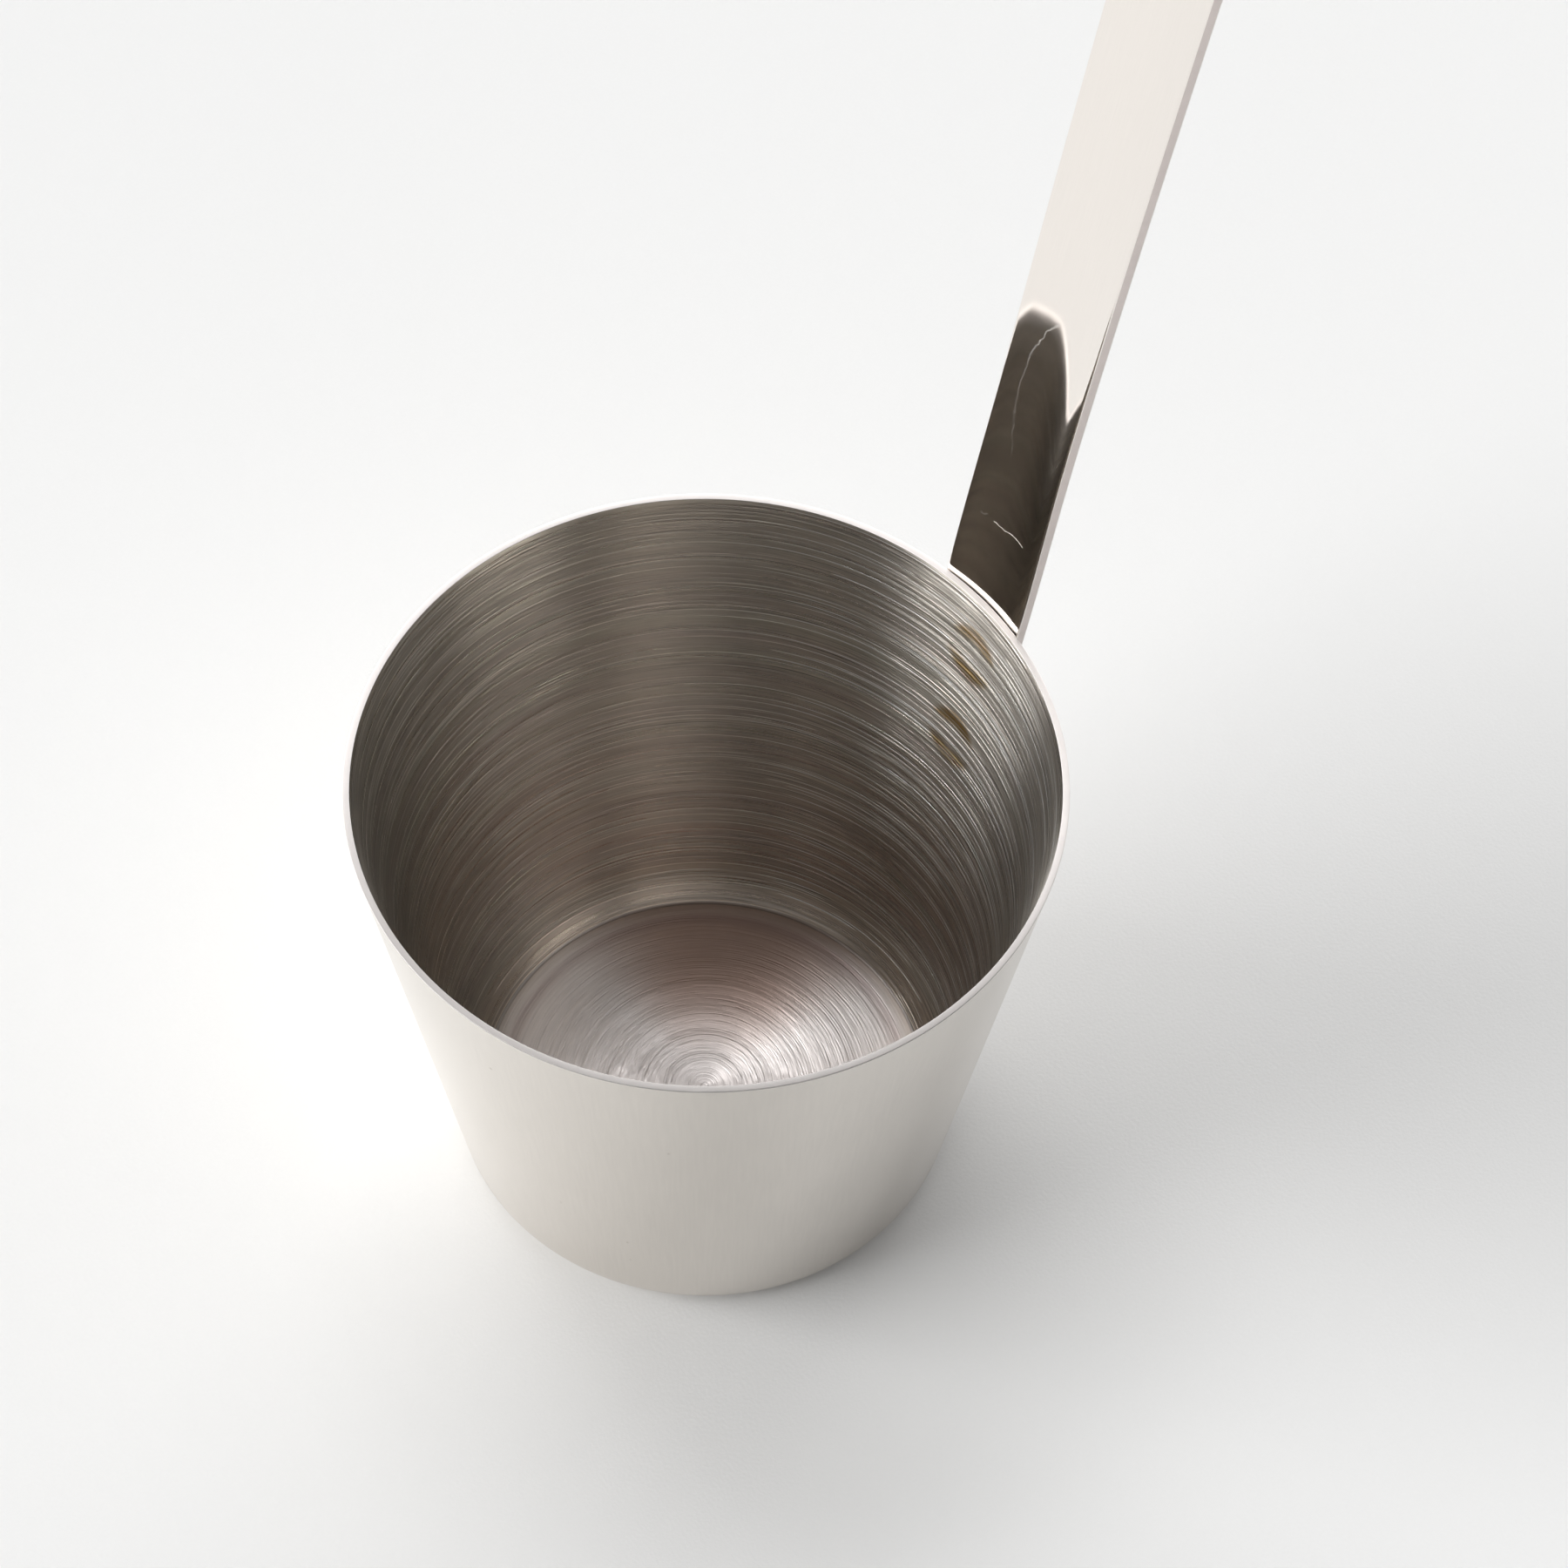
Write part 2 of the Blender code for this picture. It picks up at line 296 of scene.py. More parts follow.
def inside_finish(board):
    """Brushed round and round, with brown rings where the two welds heated the wall."""
    place = round_the_axis(board)
    x, y, radius, height = place
    lit_side_contrast = 1 + 1.5 * board.step(facing(x, y, 18), 0.2, 0.85)    # painted glints and shade: the brush lines' colour contrast is raised where the window light falls, by the welds
    painted_shade = board.step(facing(x, y, 225), 0.1, 0.85)    # painted shade: the wall's colour is darkened on the side opposite the handle
    fine = brush_grain(board, place, height, pitch=0.12 * mm, reach=9.0, detail=1.0)
    lines = brush_marks(board, place, height, pitch=0.21 * mm, reach=2.0)
    middle = brush_marks(board, place, height + 5 * mm, pitch=0.44 * mm, reach=1.5)
    broad = brush_marks(board, place, height, pitch=2.6 * mm, reach=0.8)
    dark_scores = score_lines(board, place, height, pitch=0.21 * mm, reach=1.6)
    glint_scores = score_lines(board, place, height + 9 * mm, pitch=0.22 * mm, reach=1.4)
    scores = dark_scores + glint_scores
    relief = fine * 0.022 + lines * 0.05 + middle * 0.028 + broad * 0.03 - scores * 0.032
    # Light and dark lines in the colour: partly the brushing's own tone, partly painted glints and
    # painted shade of its relief.
    marks = fine * 0.24 + lines * 0.34 + middle * 0.1 + glint_scores * 0.5 - dark_scores * 0.26
    shade = 1.0 + broad * 0.14 + (marks - 0.35) * lit_side_contrast
    shade = shade * (1 - ring_line(board, radius) * 0.5)
    shade = shade * (1 - painted_shade * 0.54)
    foot = 1 - board.step(height, 1.2 * mm, 3.6 * mm)
    colour = board.mix(broad, wall_grey, wall_olive)
    colour = board.scaled(board.mix(foot * 0.7, colour, wall_foot_brown), shade)
    streaks = board.step(brush_marks(board, place, height, pitch=0.24 * mm, reach=4.0), 0.2, 0.6)
    brown = board.mix(middle, heat_brown, heat_straw)
    colour = board.mix(heat_tint(board, height) * streaks, colour, brown)
    return colour, 0.25 + middle * 0.08, relief * mm


def bottom_finish(board):
    """Brushed round like the wall, with a reddish-brown patch at the back and a dark band at its
    edge.
    """
    x, y, radius, _ = round_the_axis(board)
    spread = board.step(radius, 0.0, 9 * mm)
    place = (x * spread, y * spread)    # keeps the marks from crowding together in the middle
    fine = brush_grain(board, place, radius, pitch=0.14 * mm, reach=7.0, detail=1.0)
    middle = brush_marks(board, place, radius, pitch=0.4 * mm, reach=3.0, detail=1.0)
    broad = brush_marks(board, place, radius, pitch=2.0 * mm, reach=1.5)
    scores = score_lines(board, place, radius, pitch=0.26 * mm, reach=2.5)
    relief = fine * 0.016 + middle * 0.026 + broad * 0.06 - scores * 0.012
    edge_band = board.step(radius, 21.0 * mm, 21.9 * mm)
    dark_band = board.step(radius, 19.3 * mm, 21.2 * mm) * (1 - edge_band)
    shade = 0.78 + fine * 0.2 + middle * 0.24 - scores * 0.06
    shade = shade * (0.7 + board.step(radius, 1 * mm, 11 * mm) * 0.3)
    # The bottom's colour is partly painted light: lighter than the wall's steel of the same sheet.
    colour = board.scaled(bottom_lit_pink, shade)
    # reddish-brown towards the back of the bottom, fading out towards its middle
    back_patch = board.step(facing(x, y, 84), 0.6, 1.0) * board.step(radius, 2 * mm, 14 * mm)
    colour = board.mix(back_patch * 0.78, colour, bottom_red_brown)
    colour = board.mix(dark_band * 0.45, colour, bottom_band_brown)
    colour = board.mix(edge_band * 0.3, colour, bottom_edge_grey)
    colour = board.mix(ring_line(board, radius) * 0.6, colour, ring_line_brown)
    return colour, 0.26 + middle * 0.08, relief * mm


def rim_finish(board):
    """Ground level, then rubbed matt. Painted shade darkens its colour on the side towards the
    camera.
    """
    place = round_the_axis(board)
    x, y, radius, height = place
    lines = brush_grain(board, place, radius + height, pitch=0.06 * mm, reach=6.0)
    wear = brush_grain(board, place, radius, pitch=0.4 * mm, reach=18.0)
    # painted shade: the rim's colour is darkened on its side towards the camera
    painted_shade = board.step(facing(x, y, 265), -0.1, 0.75)
    colour = board.scaled(rim_white, 0.94 + wear * 0.1 - painted_shade * 0.4)
    return colour, 0.52 + lines * 0.1, wear * (0.0005 * mm)


def outside_finish(board):
    """Satin as the sheet came from the mill, with faint clouds and a few dark specks."""
    x, y, _, height = round_the_axis(board)
    grain = board.noise(board.vector(x * 90.0, y * 90.0, height / (5 * mm)), detail=2.0)
    cloud = board.noise(board.vector(x * 4.0, y * 4.0, height / (9 * mm)), detail=3.0)
    speck = specks(board, board.vector(x * 7.0, y * 7.0, height / (5 * mm)), 0.035, 0.55)
    colour = board.scaled(outside_cream, 0.92 + grain * 0.10 + cloud * 0.06)
    colour = board.mix(speck * 0.6, colour, speck_brown)
    return colour, 0.2, grain * (0.0003 * mm)


def underside_finish(board):
    """Brushed round less finely than the inside, and scuffed by what it has stood on."""
    place = round_the_axis(board)
    x, y, radius, _ = place
    lines = brush_grain(board, place, radius, pitch=0.3 * mm, reach=3.0)
    scuffs = board.noise(board.vector(x * 5.0, y * 5.0, radius / (3 * mm)), detail=4.0)
    colour = board.scaled(underside_grey, 0.8 + lines * 0.15 + scuffs * 0.2)
    return colour, 0.34 + scuffs * 0.12, lines * (0.006 * mm)


bottom_zone, inside_zone, rim_zone, outside_zone, underside_zone = range(5)
cup_steels = (
    steel("steel, brushed bottom", bottom_finish, anisotropic=brushed),
    steel("steel, brushed inside", inside_finish, anisotropic=brushed),
    steel("steel, polished rim", rim_finish),
    steel("steel, satin outside", outside_finish),
    steel("steel, underside", underside_finish, anisotropic=scuffed),
)


def arc(centre, radius, start, end, steps):
    """Points on an arc about (radius, height), its angles in degrees from level, outward."""
    angles = [math.radians(start + (end - start) * i / steps) for i in range(steps + 1)]
    return [(centre[0] + radius * math.cos(a), centre[1] + radius * math.sin(a)) for a in angles]


def between(start, end, pitch):
    """Points from start to end at about this pitch, without the two ends."""
    count = max(1, round(math.dist(start, end) / pitch))
    steps = [i / count for i in range(1, count)]
    return [(start[0] + (end[0] - start[0]) * t, start[1] + (end[1] - start[1]) * t) for t in steps]


def corner_centre():
    """Centre of the outer corner, the arc that joins the wall's line and the floor's."""
    across = foot_radius + corner_radius * wall_slope - corner_radius / math.cos(wall_lean)
    return (across, corner_radius)


def inside_sweep():
    """Centre of the arc that the inside wall ends in, and its angle in degrees at the line."""
    reach = (gauge + sweep_radius) / math.cos(wall_lean)
    line_end = ring_line_radius + ring_line_width / 2
    across = line_end - foot_radius - gauge * wall_slope + reach
    turn = wall_lean + math.acos(across * math.cos(wall_lean) / sweep_radius)
    height = gauge + sweep_radius * math.sin(turn)
    return (foot_radius + height * wall_slope - reach, height), -math.degrees(turn)


def lip(top_radius, flare, edge_round):
    """Points up the wall's last stretch, from its straight line to the round of the rim's edge."""
    points = []
    for i in range(lip_steps + 1):
        share = i / lip_steps
        below = lip_height * (1 - share) + edge_round * share
        points += [(top_radius - wall_slope * below + flare * share**2, rim_height - below)]
    return points


def cup_section():
    """Half section from the bottom's middle to the underside's, as (radius, height, zone)."""
    lean = math.degrees(wall_lean)
    sweep_centre, sweep_start = inside_sweep()
    line_start = (ring_line_radius - ring_line_width / 2, gauge)
    bottom = [(0.0, gauge)] + between((0.0, gauge), line_start, pitch=1.2 * mm)
    bottom += [line_start, (ring_line_radius, gauge - ring_line_depth)]
    inside = arc(sweep_centre, sweep_radius, sweep_start, -lean, steps=14)
    inner_top = wall_top_radius - gauge / math.cos(wall_lean)
    inner_lip = lip(inner_top, lip_flare + lip_easing, rim_inner_round)
    outer_lip = lip(wall_top_radius, lip_flare, rim_outer_round)
    inside += between(inside[-1], inner_lip[0], pitch=0.9 * mm) + inner_lip[:-1]
    inner_centre = (inner_lip[-1][0] + rim_inner_round, inner_lip[-1][1])
    outer_centre = (outer_lip[-1][0] - rim_outer_round, outer_lip[-1][1])
    rim = arc(inner_centre, rim_inner_round, 180, 90, steps=3)
    rim += arc(outer_centre, rim_outer_round, 90, 0, steps=5)
    outer_corner = arc(corner_centre(), corner_radius, -lean, -90, steps=12)
    outside = outer_lip[::-1][1:] + between(outer_lip[0], outer_corner[0], pitch=2.5 * mm)
    outside += outer_corner[:-1]
    foot_edge = outer_corner[-1]
    underside = [foot_edge] + between(foot_edge, (0.0, 0.0), pitch=3 * mm) + [(0.0, 0.0)]
    zones = {
        bottom_zone: bottom,
        inside_zone: inside,
        rim_zone: rim,
        outside_zone: outside,
        underside_zone: underside,
    }
    return [(*point, zone) for zone, points in zones.items() for point in points]


def shape_board(name, sizes):
    """A Geometry Nodes tree with these named inputs. Returns its board and input wires."""
    tree = bpy.data.node_groups.new(name, "GeometryNodeTree")
    tree.interface.new_socket("Geometry", in_out="INPUT", socket_type="NodeSocketGeometry")
    for size in sizes:
        tree.interface.new_socket(size, in_out="INPUT", socket_type="NodeSocketFloat")
    tree.interface.new_socket("Geometry", in_out="OUTPUT", socket_type="NodeSocketGeometry")
    board = Board(tree)
    entry = tree.nodes.new("NodeGroupInput")
    return board, {s.name: Wire(board, s) for s in entry.outputs if s.name}


def finish_tree(board, geometry, materials):
    """Ends a tree: instances made real, shaded smooth, and each zone in its material."""
    geometry = board.add("GeometryNodeRealizeInstances", {}, {0: geometry})
    geometry = board.add("GeometryNodeSetShadeSmooth", {}, {0: geometry})
    zone = board.add("GeometryNodeInputNamedAttribute", {"data_type": "INT"}, {"Name": "zone"})
    for number, material in enumerate(materials):
        here = board.maths("COMPARE", zone, number, 0.5)
        values = {"Geometry": geometry, "Selection": here, "Material": material}
        geometry = board.add("GeometryNodeSetMaterial", {}, values)
    leave = board.tree.nodes.new("NodeGroupOutput")
    board.plug(leave.inputs[0], geometry)
    return board.tree


def made_by(name, mesh, tree, sizes):
    """A plain mesh object: the mesh taken through the tree with these sizes."""
    rough = bpy.data.objects.new(name + " rough", mesh)
    bpy.context.scene.collection.objects.link(rough)
    modifier = rough.modifiers.new("shape", "NODES")
    modifier.node_group = tree
    for item in tree.interface.items_tree:
        if item.name in sizes:
            modifier[item.identifier] = sizes[item.name]
    evaluated = rough.evaluated_get(bpy.context.evaluated_depsgraph_get())
    final = bpy.data.meshes.new_from_object(evaluated)
    final.name = name
    bpy.data.objects.remove(rough)
    piece = bpy.data.objects.new(name, final)
    bpy.context.scene.collection.objects.link(piece)
    return piece


def turning_tree():
    """Turns a section round the axis, and dents its inside where the electrodes pressed."""
    depths = ("Upper weld depth", "Lower weld depth")
    sizes = ("Columns", "Rim height", "Weld side", "Dent radius", "Dent depth", *depths)
    board, given = shape_board("turned cup", sizes)
    section = given["Geometry"]
    position = board.add("GeometryNodeInputPosition")
    settings = {"data_type": "INT"}
    section_zone = board.add("GeometryNodeInputNamedAttribute", settings, {"Name": "zone"})
    index = board.add("GeometryNodeInputIndex")
    rows = board.add("GeometryNodeAttributeDomainSize", {}, {0: section})
    lines = {"Vertices X": given["Columns"] + 1, "Vertices Y": rows}
    grid = board.add("GeometryNodeMeshGrid", {}, lines)
    picked = {"Geometry": section, "Value": position, "Index": index % rows}
    point = board.add("GeometryNodeSampleIndex", {"data_type": "FLOAT_VECTOR"}, picked)
    picked = {"Geometry": section, "Value": section_zone, "Index": index % rows}
    zone = board.add("GeometryNodeSampleIndex", settings, picked)
    radius, _, height = board.parts(point)
    angle = board.maths("FLOOR", index / rows) / given["Columns"] * math.tau
    x = radius * board.maths("COSINE", angle)
    y = radius * board.maths("SINE", angle)
    dent = 0.0
    for depth in depths:
        side = y - given["Weld side"]
        rise = height - given["Rim height"] + given[depth]
        away = (side * side + rise * rise) ** 0.5 / given["Dent radius"]
        dent = 1 - board.step(away, *weld_dent_fade) + dent
    on_wall = board.maths("COMPARE", zone, inside_zone, 0.5)
    on_handle_side = board.maths("GREATER_THAN", x, 0.0)
    pushed = dent * on_wall * on_handle_side * given["Dent depth"]
    place = board.vector(x + pushed, y, height)
    turned = board.add("GeometryNodeSetPosition", {}, {"Geometry": grid, "Position": place})
    picked = {"Geometry": section, "Value": section_zone, "Index": index % (rows - 1)}
    face_zone = board.add("GeometryNodeSampleIndex", settings, picked)
    settings = {"data_type": "INT", "domain": "FACE"}
    stored = {"Geometry": turned, "Name": "zone", "Value": face_zone}
    turned = board.add("GeometryNodeStoreNamedAttribute", settings, stored)
    closed = board.add("GeometryNodeMergeByDistance", {}, {0: turned, "Distance": merge_distance})
    # The section runs up the inside and down the outside, so the turned faces point inward.
    outward = board.add("GeometryNodeFlipFaces", {}, {0: closed})
    return finish_tree(board, outward, cup_steels)


def section_mesh(section):
    """A section's points as loose vertices, each with its zone."""
    mesh = bpy.data.meshes.new("section")
    mesh.from_pydata([(radius, 0.0, height) for radius, height, _ in section], [], [])
    zones = mesh.attributes.new("zone", "INT", "POINT")
    zones.data.foreach_set("value", [zone for _, _, zone in section])
    return mesh


cup_sizes = {
    "Columns": cup_columns,
    "Rim height": rim_height,
    "Weld side": weld_side,
    "Dent radius": weld_ring_radius,
    "Dent depth": weld_dent_depth,
    "Upper weld depth": weld_depths[0],
    "Lower weld depth": weld_depths[1],
}
cup = made_by("cup_bowl", section_mesh(cup_section()), turning_tree(), cup_sizes)
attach(cup, "root")
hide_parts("cup")

# Handle. A strap of 1.2 mm stainless strip, hollow towards the cup, that follows the wall and
# then bows gently outward. It is mirror polished, with satin sides and a slot to hang it by.
strap_thickness = 1.2 * mm
strap_below_rim = 26.0 * mm     # along the strap
strap_above_rim = 144.78 * mm
strap_foot_width = 10.06 * mm
strap_taper = 0.0207            # width gained per length
strap_foot_hollow = 31.0 * mm   # radius, where the strap hugs the wall below the rim
strap_press_length = 20 * mm    # above the rim it is soon hollower, and more so on one side:
strap_slopes = (                # (share of the half width, slope in degrees)
    (-1.0, 16.3), (-0.73, 11.3), (-0.135, 0.7), (0.05, -2.6),
    (0.32, -4.4), (0.77, -6.3), (1.0, -6.6),
)
strap_gap = 0.12 * mm           # between the rim and the strap's middle line
strap_bend = 8.0 * mm           # the outward set is made in this length below the rim
strap_set = math.radians(1.69)
strap_bow = math.radians(0.78) / (35 * mm)    # turn per length above the rim
strap_twist = math.radians(4.2)    # a slight twist, made in the first stretch above the rim
strap_twist_length = 30 * mm
strap_row_pitch = 1.0 * mm
edge_round = 0.16 * mm
roll_width = 1.5 * mm           # polishing has eased the mirror face down towards its edges,
roll_slopes = (8.0, 2.5)        # more on one side, in degrees
slot_width = 6.5 * mm
slot_length = 15.0 * mm
slot_margin = 4.0 * mm
mirror_cream = (0.925, 0.875, 0.825)
side_grey = (0.71, 0.645, 0.62)
back_cream = (0.82, 0.80, 0.77)
back_heat_brown = (0.38, 0.25, 0.12)
mirror_zone, side_zone, back_zone = range(3)
deep_scratch = ((10.1, 1.5), (10.2, 0.0), (10.6, -1.2), (10.4, -2.8))    # (along, across) in mm
deep_scratch_start = ((9.9, 3.3), (10.2, 2.5))
faint_scratch = ((37.2, 0.8), (35.2, 2.1), (31.3, 3.2), (26.6, 3.5), (21.8, 2.8), (18.5, 2.0))


def strip_place(board):
    """Place on the strip before it was bent: along it from the rim, and across it."""
    along, across, _ = board.parts(board.add("ShaderNodeUVMap", {"uv_map": "strip"}))
    return along, across


def scratch(board, along, across, points, width):
    """0 to 1 on a scratch through these points, each (along, across) in millimetres."""
    mark = 0.0
    for start, end in zip(points, points[1:]):
        way = [(b - a) * mm for a, b in zip(start, end)]
        from_start = along - start[0] * mm, across - start[1] * mm
        share = (from_start[0] * way[0] + from_start[1] * way[1]) / (way[0] ** 2 + way[1] ** 2)
        share = board.maths("MINIMUM", board.maths("MAXIMUM", share, 0.0), 1.0)
        gap = [f - share * w for f, w in zip(from_start, way)]
        away = (gap[0] * gap[0] + gap[1] * gap[1]) ** 0.5
        mark = board.maths("MAXIMUM", mark, 1 - board.step(away, width * 0.3, width))
    return mark


def mirror_finish(board):
    """Mirror polished, with the wipe marks, specks and scratches of use."""
    along, across = strip_place(board)
    spot = board.vector(along / (0.8 * mm), across / (0.8 * mm), 8.0)
    wander = board.noise(spot) * (0.7 * mm)    # scratches don't run quite straight
    deep = scratch(board, along + wander, across, deep_scratch, 0.08 * mm)
    deep = deep + scratch(board, along + wander, across, deep_scratch_start, 0.06 * mm) * 0.5
    faint = scratch(board, along, across + wander, faint_scratch, 0.09 * mm)
    marks = specks(board, board.vector(along / (4 * mm), across / (4 * mm), 3.3), 0.03, 0.5)
    marks = marks * 0.6 + deep * 0.9 + faint * 0.25
    ripple = board.noise(board.vector(along / (12 * mm), across / (5 * mm), 0.0), detail=0.0)
    wipes = board.noise(board.vector(along / (6 * mm), across / (0.12 * mm), 1.0), detail=2.0)
    colour = board.scaled(mirror_cream, 0.965 + wipes * 0.06)
    relief = ripple * (0.001 * mm) + wipes * (0.00002 * mm)
    return colour, 0.05 + wipes * 0.05 + marks * 0.6, relief


def side_finish(board):
    """Satin where the strip was slit and its edge dressed, with the grain along it."""
    along, across = strip_place(board)
    _, _, height = board.parts(board.add("ShaderNodeTexCoord", {}, {}, "Object"))
    grain = board.noise(board.vector(along / (2 * mm), across / (0.06 * mm), height / (4 * mm)))
    colour = board.scaled(side_grey, 0.9 + grain * 0.15)
    return colour, 0.38 + grain * 0.1, grain * (0.004 * mm)


def back_finish(board):
    """Polished like the front, with a ring of heat tint round each electrode's mark."""
    along, across = strip_place(board)
    ripple = board.noise(board.vector(along / (9 * mm), across / (4 * mm), 5.0), detail=1.0)
    wipes = board.noise(board.vector(along / (5 * mm), across / (0.06 * mm), 6.0), detail=2.0)
    colour = board.scaled(back_cream, 0.95 + wipes * 0.06)
    for depth in weld_depths:
        rise = (along + depth / math.cos(wall_lean)) / weld_ring_radius
        side = (across - weld_side) / weld_ring_radius
        distance = (side * side + rise * rise) ** 0.5
        ring = 1 - board.step(abs(distance - 0.98), 0.05, 0.3)
        colour = board.mix(ring * 0.5, colour, back_heat_brown)
    return colour, 0.06 + wipes * 0.05, ripple * (0.002 * mm) + wipes * (0.0001 * mm)


strap_steels = (
    steel("steel, mirror", mirror_finish),
    steel("steel, satin side", side_finish),
    steel("steel, polished back", back_finish),
)


def strap_half_width(along):
    """Half the strap's width at this place along it."""
    return (strap_foot_width + strap_taper * (along + strap_below_rim)) / 2


def rolled(inset, share):
    """Depth of the mirror face at this inset from the edge, and share of the half width across."""
    first, second = roll_slopes
    slope = first + (second - first) * min(1.0, max(0.0, 0.5 + share))
    return math.radians(slope) * roll_width / 2 * max(0.0, 1 - inset / roll_width) ** 2


def pressed(along, across):
    """Slope and rise that the press gave the strap at this place on it."""
    share = min(1.0, max(-1.0, across / strap_half_width(along)))
    steps = 16
    slope = rise = 0.0
    for i in range(steps + 1):
        there = share * i / steps
        pairs = zip(strap_slopes, strap_slopes[1:])
        low, high = next(pair for pair in pairs if there <= pair[1][0])
        slope = low[1] + (high[1] - low[1]) * (there - low[0]) / (high[0] - low[0])
        slope = math.radians(slope)
        rise += slope * across / steps * (0.5 if i in (0, steps) else 1.0)
    above = min(1.0, max(0.0, along / strap_press_length))
    above = above * above * (3 - 2 * above)
    slope = above * slope - (1 - above) * across / strap_foot_hollow
    rise = above * rise - (1 - above) * across**2 / (2 * strap_foot_hollow)
    return slope, rise


def round_the_edge():
    """From the front face round an edge to the back: (inset, depth, zone of what follows)."""
    quarter = [math.radians(a) for a in (0, 22, 45, 68, 90)]
    points = []
    for a in quarter:
        points += [(edge_round * (1 - math.sin(a)), edge_round * (1 - math.cos(a)), mirror_zone)]
    points[-1] = (*points[-1][:2], side_zone)
    points += [(0.0, strap_thickness / 2, side_zone)]
    back = strap_thickness - edge_round
    for a in quarter:
        points += [(edge_round * (1 - math.cos(a)), back + edge_round * math.sin(a), back_zone)]
    return points


def strap_rows():
    """Rows across half the strap, foot to top: (outline point, inner point, slot direction).

    A row starts at its inner point, which is on the middle line, and ends on the outline. Where
    it meets the slot it starts on the slot's edge, in the slot direction from the inner point.
    """
    foot_half = strap_foot_width / 2
    foot_centre = foot_half - strap_below_rim
    top_half = strap_half_width(strap_above_rim)
    top_centre = strap_above_rim - top_half
    slot_high = strap_above_rim - slot_margin - slot_width / 2
    slot_low = slot_high - slot_length + slot_width
    slot_tip = slot_low - slot_width / 2 - edge_round
    turns = [math.radians(a) for a in (0, 4, 9, 16, 24, 33, 43, 54, 66, 78, 90)]
    rows = []
    for a in turns[:-1]:
        outline = (foot_centre - foot_half * math.cos(a), foot_half * math.sin(a))
        rows += [(outline, (foot_centre, 0.0), None)]
    count = round((slot_tip - foot_centre) / strap_row_pitch)
    for i in range(count):
        along = foot_centre + (slot_tip - foot_centre) * i / count
        rows += [((along, strap_half_width(along)), (along, 0.0), None)]
    for a in turns[:-1]:
        way = (-math.cos(a), math.sin(a))
        along = slot_low + (slot_width / 2 + edge_round) * way[0]
        rows += [((along, strap_half_width(along)), (slot_low, 0.0), way)]
    count = round((slot_high - slot_low) / strap_row_pitch)
    for i in range(count):
        along = slot_low + (slot_high - slot_low) * i / count
        rows += [((along, strap_half_width(along)), (along, 0.0), (0.0, 1.0))]
    for a in reversed(turns):
        way = (math.cos(a), math.sin(a))
        outline = (top_centre + top_half * way[0], top_half * way[1])
        rows += [(outline, (slot_high, 0.0), way)]
    return rows


def towards(start, end, distance):
    """The point at this distance from start, on the way to end."""
    share = distance / math.dist(start, end)
    return tuple(a + (b - a) * share for a, b in zip(start, end))


def row_points(outline, inner, slot_way):
    """Points (along, across, depth, zone) round half the strap's section at one row."""
    if slot_way:
        reach = slot_width / 2 + edge_round
        inner = (inner[0] + reach * slot_way[0], inner[1] + reach * slot_way[1])
    room = math.dist(inner, outline) - roll_width
    steps = 10
    insets = [roll_width + room * (1 - i / steps) for i in range(steps)]
    insets += [roll_width * share for share in (1.0, 0.85, 0.7, 0.55, 0.42, 0.3, 0.2)]
    points = [(inset, 0.0, mirror_zone) for inset in insets]
    points += round_the_edge()
    points += [(inset, strap_thickness, back_zone) for inset in reversed(insets)]
    return [(*towards(outline, inner, inset), inset, depth, zone) for inset, depth, zone in points]


def slot_wall_points(inner, slot_way):
    """Points down the slot's wall at one row, from the back to the front."""
    points = []
    for inset, depth, zone in reversed(round_the_edge()):
        reach = slot_width / 2 + inset
        along = inner[0] + reach * slot_way[0]
        points += [(along, inner[1] + reach * slot_way[1], roll_width, depth, zone)]
    return points


def electrode_dent(along, across):
    """0 to 1 where an electrode pressed the strap's back."""
    dent = 0.0
    for depth in weld_depths:
        middle = (-depth / math.cos(wall_lean), weld_side)
        away = math.dist((along, across), middle) / weld_ring_radius
        whole, none = weld_dent_fade
        share = min(1.0, max(0.0, (none - away) / (none - whole)))
        dent += share * share * (3 - 2 * share)
    return dent


def strap_point(along, across, inset, depth):
    """A point of the flat strip, after it is polished, dented by the welds and pressed hollow."""
    across_share = across / strap_half_width(along)
    body = 1 - depth / strap_thickness
    depth += body * rolled(inset, across_share)
    depth -= (1 - body) * weld_dent_depth * electrode_dent(along, across)
    slope, rise = pressed(along, across)
    return (along, across - depth * math.sin(slope), rise + depth * math.cos(slope))


def add_patch(shape, rows):
    """Quads between rows of points, for one half of the strap and for its other half."""
    zone_layer = shape.faces.layers.int["zone"]
    strip_layer = shape.loops.layers.uv["strip"]
    for side in (1, -1):
        places = [[(a, b * side) for a, b, *_ in row] for row in rows]
        lines = []
        for row in rows:
            points = [strap_point(a, b * side, inset, depth) for a, b, inset, depth, _ in row]
            lines += [[shape.verts.new(point) for point in points]]
        for i in range(len(rows) - 1):
            for j in range(len(rows[0]) - 1):
                steps = ((i, j), (i + 1, j), (i + 1, j + 1), (i, j + 1))[::side]
                face = shape.faces.new([lines[row][column] for row, column in steps])
                face[zone_layer] = rows[i][j][4]
                for loop, (row, column) in zip(face.loops, steps):
                    loop[strip_layer].uv = places[row][column]


